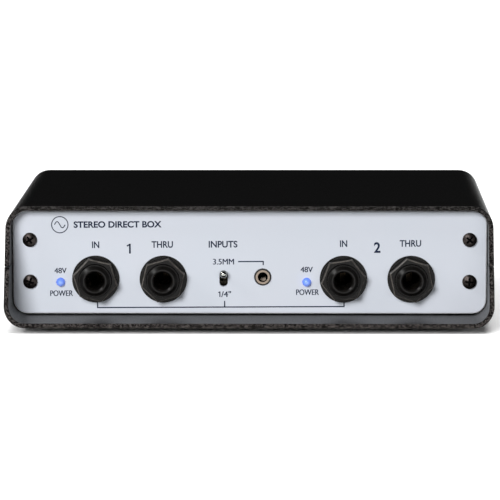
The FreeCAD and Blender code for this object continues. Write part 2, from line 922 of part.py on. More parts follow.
def make_lamps():
    z = height(dims.lamp_rise)
    leads = []
    for name, x in LAMPS.items():
        node(seat(lamp_body(name), x, z))
        for side in (-1, 1):
            leads.append(seat(lamp_lead(f"{name}_lead_{side + 2}", side), x, z))
    node(group("lamp_leads", *leads))


# ---------------------------------------------------------------- toggles

toggle_cavity = 2.6             # half width of the space that the rocker moves in
toggle_cavity_tall = 3.8
toggle_base = 12.6              # front of the floor that the terminals pass through
terminal_half = 0.3
terminal_pitch = 1.8
terminal_back = 15.1
terminal_deep = 0.5
contact_level = 2.7             # end terminals, above and below the axis
barrel_radius = 3.4
barrel_mouth = 2.9
bushing_flange = 0.7
ball_cover = 1.1                # how far the ball's seat reaches in front of the pivot
rocker_half = 1.5
rocker_reach = 3.0
rocker_face = 1.0               # the rocker's face and back, in front of the ridge's axis
rocker_back = 0.6
rocker_web = 0.4
ridge_radius = 0.5
contact_half = 1.0
contact_tall = 0.6
TOGGLE_TERMINALS = {"low": -1, "middle": 0, "high": 1}


def toggle_floor():
    return board_top - height(dims.toggle_rise)


def toggle_lever(name):
    """A metal lever on a ball and a cross pin: a round tip out in front, a tail on the rocker."""
    tip = ball(name + "_tip", dims.lever_tip, (0, -dims.lever_reach, 0))
    shaft = taper(name + "_shaft", dims.lever_shaft * 0.85, dims.lever_shaft, dims.lever_reach,
                  (0, -dims.lever_reach, 0))
    pivot = ball(name + "_ball", dims.lever_ball, (0, 0, 0))
    pin = rod(name + "_pin", dims.lever_pin, dims.lever_pin_half * 2,
              (-dims.lever_pin_half, 0, 0), "X")
    tail = rod(name + "_tail", dims.tail_radius, dims.lever_tail, (0, 0, 0))
    end = ball(name + "_end", dims.tail_radius, (0, dims.lever_tail, 0))
    lever = fuse(name + "_upright", tip, shaft, pivot, pin, tail, end)
    put(lever, (0, dims.lever_pivot, 0), Rotation(Vector(1, 0, 0), -dims.lever_throw.value))
    return group(name, lever)


def toggle_rocker(name):
    """A plate on a round ridge, tipped by the lever's tail."""
    plate = block(name + "_plate", (-rocker_half, -rocker_face, -rocker_reach),
                  (rocker_half, -rocker_back, rocker_reach))
    web = block(name + "_web", (-rocker_half, -rocker_back, -rocker_web),
                (rocker_half, 0, rocker_web))
    ridge = rod(name + "_ridge", ridge_radius, rocker_half * 2, (-rocker_half, 0, 0), "X")
    rocker = fuse(name + "_level", plate, web, ridge)
    put(rocker, (0, dims.rocker_pivot, 0), Rotation(Vector(1, 0, 0), dims.rocker_throw.value))
    return group(name, rocker)


def toggle_bushing(name):
    """The metal bushing behind the slot: a flared mouth, and the seat for the lever's ball."""
    half = dims.toggle_width / 2
    seat_start = dims.lever_pivot - ball_cover
    barrel = rod(name + "_barrel", barrel_radius, dims.toggle_front - dims.panel_thick,
                 (0, dims.panel_thick, 0))
    flange = block(name + "_flange", (-half, dims.toggle_front - bushing_flange, -dims.toggle_top),
                   (half, dims.toggle_front, dims.toggle_top))
    seat_radius = dims.lever_ball + dims.ball_play
    mouth = taper(name + "_flare", barrel_mouth, seat_radius, seat_start - dims.panel_thick,
                  (0, dims.panel_thick, 0))
    bore = rod(name + "_seat", seat_radius, dims.toggle_front, (0, seat_start, 0))
    pin_reach = dims.lever_pin_half + dims.pin_play
    pin_hole = rod(name + "_pin_hole", dims.lever_pin + dims.ball_play, pin_reach * 2,
                   (-pin_reach, dims.lever_pivot, 0), "X")
    return cut(name, fuse(name + "_solid", barrel, flange), mouth, bore, pin_hole)


def toggle_housing(name):
    half = dims.toggle_width / 2
    shell = block(name + "_box", (-half, dims.toggle_front, toggle_floor()),
                  (half, dims.toggle_back, dims.toggle_top))
    cavity = block(name + "_cavity",
                   (-toggle_cavity, dims.toggle_front - PAST, -toggle_cavity_tall),
                   (toggle_cavity, toggle_base, toggle_cavity_tall))
    passages = []
    for label, way in TOGGLE_TERMINALS.items():
        x = terminal_pitch * way
        z = contact_level * way
        half_gap = terminal_half + dims.ball_play
        passages.append(block(
            f"{name}_{label}_passage", (x - half_gap, toggle_base - PAST, z - half_gap),
            (x + half_gap, dims.toggle_back + PAST, z + half_gap),
        ))
    return cut(name, shell, cavity, *passages)


def toggle_terminal(name, way):
    """A contact head in the cavity, a pin through the floor, and a leg down into the board."""
    x = terminal_pitch * way
    z = contact_level * way
    foot = toggle_floor() - dims.board_thick - dims.pin_below
    head_low = -contact_half if way >= 0 else x - terminal_half
    head_high = contact_half if way <= 0 else x + terminal_half
    head = block(name + "_head", (head_low, dims.rocker_pivot, z - contact_tall),
                 (head_high, toggle_base, z + contact_tall))
    if way == 0:
        groove = rod(name + "_groove", ridge_radius + dims.ball_play, rocker_half * 2,
                     (-rocker_half, dims.rocker_pivot, z), "X")
        head = cut(name + "_cradle", head, groove)
    leg_front = terminal_back - terminal_deep
    through = block(name + "_through",
                    (x - terminal_half, toggle_base - terminal_deep, z - terminal_half),
                    (x + terminal_half, terminal_back, z + terminal_half))
    leg = block(name + "_leg", (x - terminal_half, leg_front, foot),
                (x + terminal_half, terminal_back, z + terminal_half))
    return fuse(name, head, through, leg)


def make_toggle(name, x, rear):
    z = height(dims.toggle_rise)
    terminals = [toggle_terminal(f"{name}_{label}_terminal", way)
                 for label, way in TOGGLE_TERMINALS.items()]
    node(seat(toggle_lever(f"{name}_lever"), x, z, rear))
    node(seat(toggle_rocker(f"{name}_rocker"), x, z, rear))
    node(seat(toggle_housing(f"{name}_housing"), x, z, rear))
    bushing = seat(toggle_bushing(f"{name}_bushing"), x, z, rear)
    return bushing, seat(group(f"{name}_terminals", *terminals), x, z, rear)


def make_toggles():
    sets = [make_toggle("selector", dims.selector_x, False)]
    for name, x in REAR_TOGGLES.items():
        sets.append(make_toggle(name, x, True))
    bushings, terminals = zip(*sets)
    node(group("toggle_bushings", *bushings))
    node(group("toggle_terminals", *terminals))


# ---------------------------------------------------------------- XLR outlets

CONTACTS = {"one": (4.4, 1.3), "two": (-4.4, 1.3), "three": (0.0, -4.6)}
contact_tip = 0.4
contact_play = 0.02
contact_drop = dims.outlet_back + 3.0
insert_thick = dims.outlet_back - dims.insert_front - 1.0
wire_radius = 0.5
screw_grip = 3.0                # thread of an outlet screw that shows behind the panel


def outlet_shell(name):
    half = dims.outlet_width / 2
    half_tall = dims.outlet_tall / 2
    corners = [
        (-half, -half_tall, dims.flange_corner),
        (half, -half_tall, dims.flange_corner),
        (half, half_tall, dims.flange_corner),
        (-half, half_tall, dims.flange_corner),
    ]
    flange = padded_outline(name + "_flange", "XZ_Plane", corners, dims.flange_thick)
    root = dims.flange_thick / 2
    tube = rod(name + "_tube", dims.outlet_tube, dims.outlet_back + root, (0, -root, 0))
    front = -dims.flange_thick - PAST
    bore = rod(name + "_bore", dims.outlet_bore, dims.insert_front + PAST - front, (0, front, 0))
    insert_seat = rod(name + "_insert_seat", dims.insert_radius + dims.insert_play,
                      dims.outlet_back, (0, dims.insert_front, 0))
    fixings = [rod(f"{name}_fixing_{side + 2}", channel_bore, dims.flange_thick + PAST * 2,
                   (dims.outlet_screw_x * side, front, -dims.outlet_screw_z * side))
               for side in (-1, 1)]
    return cut(name, fuse(name + "_solid", flange, tube), bore, insert_seat, *fixings)


def outlet_insert(name):
    disc = rod(name + "_disc", dims.insert_radius, insert_thick, (0, dims.insert_front, 0))
    holes = [rod(f"{name}_hole_{label}", dims.contact_radius + contact_play,
                 insert_thick + PAST * 2, (x, dims.insert_front - PAST, z))
             for label, (x, z) in CONTACTS.items()]
    return cut(name, disc, *holes)


def outlet_contact(name, x, z):
    """A round-nosed pin, with a wire from its back end down through the board."""
    foot = board_low - dims.pin_below - height(dims.outlet_rise)
    nose = ball(name + "_nose", dims.contact_radius, (x, contact_tip + dims.contact_radius, z))
    shaft = rod(name + "_shaft", dims.contact_radius,
                dims.outlet_back - contact_tip - dims.contact_radius,
                (x, contact_tip + dims.contact_radius, z))
    back = rod(name + "_back", wire_radius, contact_drop - dims.outlet_back + PAST,
               (x, dims.outlet_back - PAST, z))
    bend = ball(name + "_bend", wire_radius, (x, contact_drop, z))
    drop = rod(name + "_drop", wire_radius, z - foot, (x, contact_drop, foot), "Z")
    return fuse(name, nose, shaft, back, bend, drop)


def make_outlets():
    z = height(dims.outlet_rise)
    screws = []
    for name, x in OUTLETS.items():
        node(seat(outlet_shell(f"{name}_shell"), x, z, rear=True))
        node(seat(outlet_insert(f"{name}_insert"), x, z, rear=True))
        contacts = [outlet_contact(f"{name}_contact_{label}", *place)
                    for label, place in CONTACTS.items()]
        node(seat(group(f"{name}_contacts", *contacts), x, z, rear=True))
        for side in (-1, 1):
            label = f"{name}_screw_{side + 2}"
            fixing = screw(label, 45 * side, dims.flange_thick + dims.panel_thick + screw_grip)
            put(fixing, (dims.outlet_screw_x * side, -dims.flange_thick,
                         -dims.outlet_screw_z * side))
            screws.append(seat(group(label + "_seated", fixing), x, z, rear=True))
    node(group("outlet_screws", *screws))


# ---------------------------------------------------------------- circuit board

def board_openings():
    """Every hole in the board, as tools in the frame of the whole object."""
    low = board_low - PAST
    high = board_top + PAST
    holes = []
    for name, (x, _) in JACKS.items():
        for label, y in (("tip", tip_lug), ("sleeve", sleeve_lug)):
            slot = lug_slot(f"board_{name}_{label}", y, 0, high - low)
            corner = (x - lug_half - dims.pin_play, y - dims.pin_play - panel_face, low)
            holes.append(put(slot, corner))
    mini = block(
        "board_mini", (0, 0, 0),
        (mini_half_lug * 2 + dims.pin_play * 2, lug_thick + dims.pin_play * 2, high - low),
    )
    put(mini, (dims.mini_x - mini_half_lug - dims.pin_play,
               mini_lug - dims.pin_play - panel_face, low))
    holes.append(mini)
    reach = dims.lead_half + dims.pin_play
    for name, x in LAMPS.items():
        for side in (-1, 1):
            centre_x = x + dims.lead_pitch * side
            centre_y = lead_drop - dims.lead_half - panel_face
            holes.append(block(f"board_{name}_{side + 2}",
                               (centre_x - reach, centre_y - reach, low),
                               (centre_x + reach, centre_y + reach, high)))
    reach = terminal_half + dims.pin_play
    for name, x, rear in [("selector", dims.selector_x, False),
                          *[(name, x, True) for name, x in REAR_TOGGLES.items()]]:
        for label, way in TOGGLE_TERMINALS.items():
            across = terminal_pitch * way + x
            along = terminal_back - terminal_deep / 2 - panel_face
            centre_x, centre_y = (-across, -along) if rear else (across, along)
            holes.append(block(f"board_{name}_{label}",
                               (centre_x - reach, centre_y - reach, low),
                               (centre_x + reach, centre_y + reach, high)))
    for name, x in OUTLETS.items():
        for label, (offset, _) in CONTACTS.items():
            holes.append(rod(f"board_{name}_{label}", wire_radius + dims.pin_play, high - low,
                             (-x - offset, panel_face - contact_drop, low), "Z"))
    return holes


def make_board():
    reach = inner_x - dims.board_side_gap
    end = panel_back - dims.board_end_gap
    blank = block("board_blank", (-reach, -end, board_low), (reach, end, board_top))
    node(cut("circuit_board", blank, *board_openings()))


# ---------------------------------------------------------------- parts on the board

coil_play = 0.1
film_half = 3.6
film_half_deep = 1.3
film_tall = 6.5
resistor_radius = 1.1
resistor_half = 3.15
chip_half = 4.8
chip_half_deep = 3.2
chip_tall = 3.4
chip_pitch = 17.0


def transformer(channel, side):
    name = f"transformer_{channel}"
    half = dims.core_width / 2
    deep = dims.core_deep / 2
    core = block(name + "_stack", (-half, -deep, 0), (half, deep, dims.core_tall))
    windows = [
        side_block(f"{name}_window_{way + 2}", way, dims.limb_half,
                   dims.limb_half + dims.window_wide, (-deep - PAST, dims.yoke_tall),
                   (deep + PAST, dims.core_tall - dims.yoke_tall))
        for way in (-1, 1)
    ]
    jack_back = dims.panel_thick + dims.jack_depth - panel_face
    outlet_front = panel_face - contact_drop - wire_radius
    place = (dims.transformer_x * side, (jack_back + outlet_front) / 2, board_top)
    node(put(cut(name + "_core", core, *windows), place))

    reach = dims.limb_half + dims.window_wide - coil_play
    low = dims.yoke_tall + coil_play
    coil = block(name + "_coil", (-reach, -dims.winding_deep / 2, low),
                 (reach, dims.winding_deep / 2, dims.core_tall - low))
    limb = block(name + "_limb", (-dims.limb_half, -deep, 0),
                 (dims.limb_half, deep, dims.core_tall))
    node(put(cut(name + "_winding", coil, limb), place))


def row_of_six(name, make):
    """Six equal parts across the middle of the board."""
    parts = [make(f"{name}_{index}", dims.can_pitch * (index - 2.5)) for index in range(6)]
    return group(name, *parts)


def make_components():
    transformer(1, -1)
    transformer(2, 1)
    clear_half = panel_face - terminal_back
    chip_y = clear_half * -0.54
    film_y = clear_half * -0.12
    can_y = clear_half * 0.36
    resistor_y = clear_half * 0.66
    node(row_of_six("electrolytic_capacitors", lambda name, x: rod(
        name, dims.can_radius, dims.can_height, (x, can_y, board_top), "Z")))
    node(row_of_six("film_capacitors", lambda name, x: block(
        name, (x - film_half, film_y - film_half_deep, board_top),
        (x + film_half, film_y + film_half_deep, board_top + film_tall))))
    node(row_of_six("resistors", lambda name, x: rod(
        name, resistor_radius, resistor_half * 2,
        (x - resistor_half, resistor_y, board_top + resistor_radius), "X")))
    chips = [block(f"chip_{way + 2}",
                   (way * chip_pitch - chip_half, chip_y - chip_half_deep, board_top),
                   (way * chip_pitch + chip_half, chip_y + chip_half_deep, board_top + chip_tall))
             for way in (-1, 0, 1)]
    node(group("amplifier_chips", *chips))


# ---------------------------------------------------------------- build, check, write

def check():
    """Stop if any feature failed, or any sub-part is empty or not valid."""
    for item in document.Objects:
        if "Invalid" in item.State or "Error" in item.State:
            raise RuntimeError(f"{item.Label} failed: {item.State}")
    for piece in nodes:
        if piece.Shape.isNull() or not piece.Shape.isValid() or not piece.Shape.Solids:
            raise RuntimeError(f"{piece.Label} has no valid shape")


def write():
    os.makedirs("parts", exist_ok=True)
    for piece in nodes:
        piece.Shape.exportStep(f"parts/{piece.Label}.step")
    print(len(nodes), "sub-parts,", sum(len(piece.Shape.Solids) for piece in nodes), "solids")


make_case()
make_feet()
make_front_panel()
make_rear_panel()
make_panel_screws()
make_jacks()
make_mini_jack()
make_lamps()
make_toggles()
make_outlets()
make_board()
make_components()
document.recompute()
check()
write()
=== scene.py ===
"""The finished looks of a stereo direct injection box: materials, printed legends, nuts, studio."""
import json
import math

import bmesh
import bpy
from mathutils import Matrix, Vector

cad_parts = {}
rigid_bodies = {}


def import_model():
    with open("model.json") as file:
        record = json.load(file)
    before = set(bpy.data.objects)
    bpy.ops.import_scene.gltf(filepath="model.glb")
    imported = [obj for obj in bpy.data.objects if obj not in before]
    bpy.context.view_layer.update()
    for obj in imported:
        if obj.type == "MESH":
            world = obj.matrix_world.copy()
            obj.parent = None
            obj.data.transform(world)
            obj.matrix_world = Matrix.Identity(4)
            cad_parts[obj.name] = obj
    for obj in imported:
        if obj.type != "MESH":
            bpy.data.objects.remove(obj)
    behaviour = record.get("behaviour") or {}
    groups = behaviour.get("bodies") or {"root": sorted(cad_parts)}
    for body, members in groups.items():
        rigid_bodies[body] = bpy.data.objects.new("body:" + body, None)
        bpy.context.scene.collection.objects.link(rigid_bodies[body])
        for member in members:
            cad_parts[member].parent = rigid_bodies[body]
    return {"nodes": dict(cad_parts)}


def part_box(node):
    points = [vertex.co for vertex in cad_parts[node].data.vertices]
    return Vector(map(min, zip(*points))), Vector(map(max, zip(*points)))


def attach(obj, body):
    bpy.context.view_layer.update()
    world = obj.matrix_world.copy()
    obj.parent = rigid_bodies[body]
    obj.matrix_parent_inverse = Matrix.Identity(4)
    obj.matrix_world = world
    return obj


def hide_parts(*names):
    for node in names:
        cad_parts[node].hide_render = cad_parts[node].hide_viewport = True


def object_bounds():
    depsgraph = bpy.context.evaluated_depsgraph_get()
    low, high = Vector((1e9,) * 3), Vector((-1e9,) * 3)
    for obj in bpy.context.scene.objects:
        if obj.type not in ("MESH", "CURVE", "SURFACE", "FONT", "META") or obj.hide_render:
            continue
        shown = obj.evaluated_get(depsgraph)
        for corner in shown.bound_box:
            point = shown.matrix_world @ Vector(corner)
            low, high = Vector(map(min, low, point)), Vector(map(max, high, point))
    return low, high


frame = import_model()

MM = 0.001
nodes = frame["nodes"]
scene = bpy.context.scene
cad_low, cad_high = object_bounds()


def centre(node):
    """The middle of a node's box."""
    low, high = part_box(node)
    return (low + high) / 2


panel_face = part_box("front_panel")[0].y
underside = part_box("bottom_shell")[0].z
case_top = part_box("top_shell")[1].z


# ---------------------------------------------------------------- camera

VIEW_X = 19.6 * MM              # to the right of the middle
VIEW_BACK = 1103.1 * MM         # in front of the panel
VIEW_UP = 191.4 * MM            # above the underside of the case
VIEW_YAW = -1.008               # degrees, to the left
VIEW_PITCH = 8.582              # degrees, down
VIEW_ROLL = -0.123              # degrees
LENS = 226.7                    # on a 36 mm sensor


def make_camera():
    """A long lens in front of the panel, a little above it and to its right."""
    data = bpy.data.cameras.new("camera")
    data.lens = LENS
    data.sensor_width = 36
    data.clip_start = 0.01
    data.clip_end = 20
    camera = bpy.data.objects.new("camera", data)
    turn = (
        Matrix.Rotation(math.radians(-VIEW_YAW), 4, "Z")
        @ Matrix.Rotation(math.radians(90 - VIEW_PITCH), 4, "X")
        @ Matrix.Rotation(math.radians(VIEW_ROLL), 4, "Z")
    )
    place = Vector((VIEW_X, panel_face - VIEW_BACK, underside + VIEW_UP))
    camera.matrix_world = Matrix.Translation(place) @ turn
    scene.collection.objects.link(camera)
    scene.camera = camera


# ---------------------------------------------------------------- studio

AIR_STRENGTH = 0.006
OVERHEAD_STRENGTH = 3.6
OVERHEAD_SPREAD = 50            # degrees
FLOOR_SIZE = 8
FLOOR_BACK = 1                  # how far the floor's middle lies behind the object
LAMPS = {                       # azimuth, elevation, distance, size and power in watts
    "key": (-22, 25, 1.6, (0.7, 0.7), 24),
    "glint": (-75, 40, 1.5, (0.35, 0.35), 6),
    "fill": (25, 3, 1.5, (1.0, 0.4), 4),
    "back_right": (140, 12, 1.5, (0.5, 0.4), 4),
    "back_left": (-130, 12, 1.5, (0.5, 0.4), 2.5),
    "behind": (180, 10, 1.5, (1.0, 0.4), 9),
}


def make_area(name, place, target, size, power):
    """A rectangular lamp at a place, turned to face its target."""
    data = bpy.data.lights.new(name, "AREA")
    data.shape = "RECTANGLE"
    data.size, data.size_y = size
    data.energy = power
    lamp = bpy.data.objects.new(name, data)
    place = Vector(place)
    aim = (Vector(target) - place).to_track_quat("-Z", "Y")
    lamp.matrix_world = Matrix.Translation(place) @ aim.to_matrix().to_4x4()
    scene.collection.objects.link(lamp)
    return lamp


def around(azimuth, elevation, distance):
    """A place round the object: azimuth 0 is in front of it, and 90 to its right."""
    turn, rise = math.radians(azimuth), math.radians(elevation)
    flat = distance * math.cos(rise)
    return Vector((flat * math.sin(turn), -flat * math.cos(turn), distance * math.sin(rise)))


def make_studio():
    """Dim air, soft lamps round the object, and a pale floor lit from overhead."""
    middle = (cad_low + cad_high) / 2
    world = bpy.data.worlds.new("studio")
    world.use_nodes = True
    air = world.node_tree.nodes["Background"]
    air.inputs["Color"].default_value = (0.9, 0.95, 1, 1)
    air.inputs["Strength"].default_value = AIR_STRENGTH
    scene.world = world
    scene.view_settings.view_transform = "Standard"

    lamps = {}
    for name, (azimuth, elevation, distance, size, power) in LAMPS.items():
        place = around(azimuth, elevation, distance)
        lamps[name] = make_area(name, place, middle, size, power)

    # the lamp behind serves the rear panel's fittings and leaves the case's top dark
    faced = bpy.data.collections.new("lit_from_behind")
    for piece in scene.objects:
        if piece.type == "MESH" and not piece.name.endswith("_shell"):
            faced.objects.link(piece)
    lamps["behind"].light_linking.receiver_collection = faced

    top = bpy.data.lights.new("overhead", "SUN")
    top.energy = OVERHEAD_STRENGTH
    top.angle = math.radians(OVERHEAD_SPREAD)
    overhead = bpy.data.objects.new("overhead", top)
    scene.collection.objects.link(overhead)

    bpy.ops.mesh.primitive_grid_add(x_subdivisions=8, y_subdivisions=8, size=FLOOR_SIZE,
                                    location=(0, FLOOR_BACK, 0))
    floor = bpy.context.object
    floor.name = "floor"
    white = Finish("floor_white", (0.93, 0.93, 0.93), 0.9)
    white.set("Roughness", white.span(white.noise(60, 2), 0.3, 0.7, 0.85, 0.95))
    floor.data.materials.append(white.material)
    floor.visible_diffuse = False
    lit = bpy.data.collections.new("lit_from_above")
    lit.objects.link(floor)
    overhead.light_linking.receiver_collection = lit


# ---------------------------------------------------------------- materials

class Finish:
    """A Principled material, and short ways to add the nodes that vary it."""

    def __init__(self, name, color, roughness, metallic=0.0, specular=0.5):
        self.material = bpy.data.materials.new(name)
        self.material.use_nodes = True
        self.tree = self.material.node_tree
        self.shader = self.tree.nodes["Principled BSDF"]
        self.shader.inputs["Base Color"].default_value = (*color, 1)
        self.shader.inputs["Roughness"].default_value = roughness
        self.shader.inputs["Metallic"].default_value = metallic
        self.shader.inputs["Specular IOR Level"].default_value = specular
        self.place = self.tree.nodes.new("ShaderNodeTexCoord")
        self.color = (*color, 1)

    def add(self, kind, **settings):
        made = self.tree.nodes.new(kind)
        for name, value in settings.items():
            setattr(made, name, value)
        return made

    def feed(self, node, socket, value):
        """Link a node's output to a socket, or set the socket to a plain value."""
        if isinstance(value, bpy.types.NodeSocket):
            self.tree.links.new(value, node.inputs[socket])
        else:
            node.inputs[socket].default_value = value

    def set(self, socket, value):
        self.feed(self.shader, socket, value)

    def noise(self, size_mm, detail=3.0, stretch=None, contrast=0.5):
        """Noise whose grains are about size_mm across, in the frame's own coordinates."""
        made = self.add("ShaderNodeTexNoise")
        made.inputs["Scale"].default_value = 1 / (size_mm * MM)
        made.inputs["Detail"].default_value = detail
        made.inputs["Roughness"].default_value = contrast
        where = self.place.outputs["Object"]
        if stretch is not None:
            scaled = self.add("ShaderNodeMapping")
            scaled.inputs["Scale"].default_value = stretch
            self.tree.links.new(where, scaled.inputs["Vector"])
            where = scaled.outputs["Vector"]
        self.tree.links.new(where, made.inputs["Vector"])
        return made.outputs["Fac"]

    def span(self, value, from_low, from_high, to_low, to_high):
        made = self.add("ShaderNodeMapRange")
        self.feed(made, "Value", value)
        for socket, number in (("From Min", from_low), ("From Max", from_high),
                               ("To Min", to_low), ("To Max", to_high)):
            made.inputs[socket].default_value = number
        return made.outputs["Result"]

    def maths(self, operation, first, second=0.0):
        made = self.add("ShaderNodeMath", operation=operation)
        self.feed(made, 0, first)
        self.feed(made, 1, second)
        return made.outputs["Value"]

    def mix(self, share, first, second):
        made = self.add("ShaderNodeMix", data_type="RGBA")
        self.feed(made, "Factor", share)
        for socket, color in (("A", first), ("B", second)):
            target = [i for i in made.inputs if i.name == socket and i.type == "RGBA"][0]
            if isinstance(color, bpy.types.NodeSocket):
                self.tree.links.new(color, target)
            else:
                target.default_value = (*color[:3], 1)
        return [o for o in made.outputs if o.type == "RGBA"][0]

    def bump(self, height, depth_mm, strength=1.0):
        """Relief of depth_mm where height runs from 0 to 1; a second call adds to the first."""
        made = self.add("ShaderNodeBump")
        made.inputs["Strength"].default_value = strength
        made.inputs["Distance"].default_value = depth_mm * MM
        self.feed(made, "Height", height)
        before = self.shader.inputs["Normal"]
        if before.is_linked:
            self.tree.links.new(before.links[0].from_socket, made.inputs["Normal"])
        self.tree.links.new(made.outputs["Normal"], before)

    def axis(self, letter, kind="Object"):
        """One coordinate of the place, or of the face's direction with kind Normal."""
        split = self.add("ShaderNodeSeparateXYZ")
        self.tree.links.new(self.place.outputs[kind], split.inputs["Vector"])
        return split.outputs[letter]

    def worn(self, low, high, size_mm=4.0):
        """Roughness that drifts between two values."""
        self.set("Roughness", self.span(self.noise(size_mm, 4), 0.3, 0.7, low, high))

    def tinted(self, share, other, size_mm=3.0):
        """The base colour drifts towards another by up to share."""
        drift = self.span(self.noise(size_mm, 4), 0.35, 0.75, 0.0, share)
        self.set("Base Color", self.mix(drift, self.color, other))


RAKE_RUN = 16 * MM              # how far the case's ends lean back over its height
RAKE = math.atan2(RAKE_RUN, case_top - underside)
BEVEL_SLOPE = math.sin(math.radians(45))


def case_coat():
    """Black powder coat with a leather grain; the cut rims are rough, greyer and speckled."""
    coat = Finish("case_coat", (0.006, 0.006, 0.0065), 0.36)
    ends = coat.maths("ABSOLUTE", coat.axis("Y", "Normal"))
    lean = coat.maths("ADD", coat.maths("MULTIPLY", ends, math.cos(RAKE)),
                      coat.maths("MULTIPLY", coat.axis("Z", "Normal"), math.sin(RAKE)))
    rim = coat.span(lean, 0.975, 0.992, 0.0, 1.0)
    speckle = coat.span(coat.noise(0.5, 2, contrast=0.6), 0.47, 0.55, 0.0, 0.9)
    rim_color = coat.mix(speckle, (0.0015, 0.001, 0.001), (0.055, 0.045, 0.041))
    shade = coat.span(coat.axis("Z"), case_top - 7 * MM, case_top - 2 * MM, 0.0, 0.7)
    rim_color = coat.mix(shade, rim_color, (0.004, 0.0035, 0.003))
    body = coat.mix(coat.span(coat.noise(1.2, 5), 0.4, 0.7, 0.0, 1.0),
                    (0.0028, 0.0026, 0.0026), (0.006, 0.0056, 0.0056))
    coat.set("Base Color", coat.mix(rim, body, rim_color))
    rim_gloss = coat.span(speckle, 0.0, 0.9, 0.05, 0.66)
    coat.set("Specular IOR Level", coat.maths(
        "ADD", coat.maths("MULTIPLY", rim, rim_gloss),
        coat.maths("MULTIPLY", coat.maths("SUBTRACT", 1.0, rim), 0.36)))
    smooth = coat.span(coat.noise(0.6, 3), 0.3, 0.7, 0.3, 0.42)
    inside = coat.maths("MULTIPLY", coat.span(coat.axis("Z", "Normal"), 0.85, 0.95, 0.0, 1.0),
                        coat.span(coat.axis("Z"), underside + 3 * MM, underside + 4 * MM, 1.0, 0.0))
    rough = coat.maths("ADD", smooth, coat.maths("MULTIPLY", rim, 0.4))
    coat.set("Roughness", coat.maths("ADD", rough, coat.maths("MULTIPLY", inside, 0.04)))
    coat.bump(coat.noise(0.55, 3), 0.03, 0.5)
    coat.bump(coat.maths("MULTIPLY", rim, speckle), 0.2, 0.9)
    return coat.material


def panel_paint():
    """Smooth pale blue-grey paint with a faint orange peel, and a painted highlight along its
    bevelled edges.
    """
    paint = Finish("panel_paint", (0.66, 0.7, 0.77), 0.42)
    drift = paint.span(paint.noise(25, 3), 0.35, 0.65, 0.0, 0.5)
    face = paint.mix(drift, paint.color, (0.675, 0.7, 0.77))
    # painted highlight: the bevel faces, turned about 45 degrees from the front, are painted near
    # white
    facing = paint.maths("ABSOLUTE", paint.axis("Y", "Normal"))
    edge = paint.span(paint.maths("ABSOLUTE", paint.maths("SUBTRACT", facing, 0.7)),
                      0.1, 0.25, 1.0, 0.0)
    paint.set("Base Color", paint.mix(edge, face, (0.92, 0.94, 0.97)))
    paint.worn(0.36, 0.48, 6)
    paint.bump(paint.noise(0.9, 2), 0.012, 0.5)
    return paint.material


def moulded(name, color, low, high, grain_mm=0.25, depth_mm=0.012, specular=0.5):
    """Moulded plastic: fine grain, gloss that drifts, and a little dust in the colour."""
    plastic = Finish(name, color, (low + high) / 2, specular=specular)
    plastic.tinted(0.5, tuple(c * 1.6 + 0.002 for c in color), 1.5)
    plastic.worn(low, high, 2.0)
    plastic.bump(plastic.noise(grain_mm, 3), depth_mm, 0.5)
    return plastic.material


def metal(name, color, low, high, brushed=None, dull=0.75, metallic=1.0):
    """Bare or plated metal with fine marks; brushed stretches the marks along an axis."""
    plate = Finish(name, color, (low + high) / 2, metallic=metallic)
    plate.tinted(0.6, tuple(c * dull for c in color), 1.0)
    marks = plate.noise(0.3, 4, stretch=brushed)
    plate.set("Roughness", plate.span(marks, 0.3, 0.7, low, high))
    plate.bump(marks, 0.006, 0.5)
    return plate.material


def blackened_screw(node):
    """Black oxide, with painted shade making it near black in the cross recess, under the level of
    the head's rim.
    """
    low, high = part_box(node)
    screw = Finish(node + "_oxide", (0.022, 0.018, 0.017), 0.35, metallic=1.0)
    face = max(abs(low.y), abs(high.y))
    level = screw.maths("ABSOLUTE", screw.axis("Y"))
    head = screw.span(level, face - 1.0 * MM, face - 0.8 * MM, 0.0, 1.0)
    worn = screw.mix(screw.span(screw.noise(0.5, 3), 0.4, 0.7, 0.0, 1.0),
                     screw.color, (0.05, 0.043, 0.04))
    # painted shade: everything below the level of the head's rim, the cross recess first, is
    # painted near black
    screw.set("Base Color", screw.mix(head, (0.002, 0.002, 0.002), worn))
    screw.set("Roughness", screw.span(screw.noise(0.6, 3), 0.3, 0.7, 0.28, 0.44))
    screw.bump(screw.noise(0.3, 3), 0.01, 0.5)
    return screw.material


def nut_plastic():
    """The jacks' black plastic, paler along the nut's bevels from wear and a painted highlight."""
    nut = Finish("nut_plastic", (0.0045, 0.004, 0.0036), 0.3, specular=0.15)
    facing = nut.maths("ABSOLUTE", nut.axis("Y", "Normal"))
    off_bevel = nut.maths("ABSOLUTE", nut.maths("SUBTRACT", facing, BEVEL_SLOPE))
    bevel = nut.span(off_bevel, 0.1, 0.2, 1.0, 0.0)
    # painted highlight and wear: the 45 degree bevels are painted pale, broken up by noise
    rubbed_and_highlight = nut.maths("MULTIPLY", bevel, nut.span(nut.noise(1.2, 3), 0.35, 0.6, 0.5, 1.0))
    nut.set("Base Color", nut.mix(rubbed_and_highlight, nut.color, (0.12, 0.11, 0.1)))
    nut.worn(0.24, 0.36, 2.0)
    nut.bump(nut.noise(0.25, 3), 0.012, 0.5)
    return nut.material


def lamp_lens(lamp):
    """Blue tinted lens, lit softly from its core."""
    x, _, z = centre(lamp)
    lens = Finish(lamp + "_lens", (0.05, 0.16, 0.85), 0.12)
    across = lens.maths("SUBTRACT", lens.axis("X"), x)
    up = lens.maths("SUBTRACT", lens.axis("Z"), z)
    radius = lens.maths("SQRT", lens.maths("ADD", lens.maths("MULTIPLY", across, across),
                                           lens.maths("MULTIPLY", up, up)))
    edge = lens.span(radius, 0.2 * MM, 1.5 * MM, 0.0, 1.0)
    glow = lens.mix(edge, (0.52, 0.67, 0.93), (0.13, 0.21, 0.56))
    lens.set("Emission Color", glow)
    lens.set("Emission Strength", 0.5)
    lens.worn(0.08, 0.16, 1.0)
    return lens.material


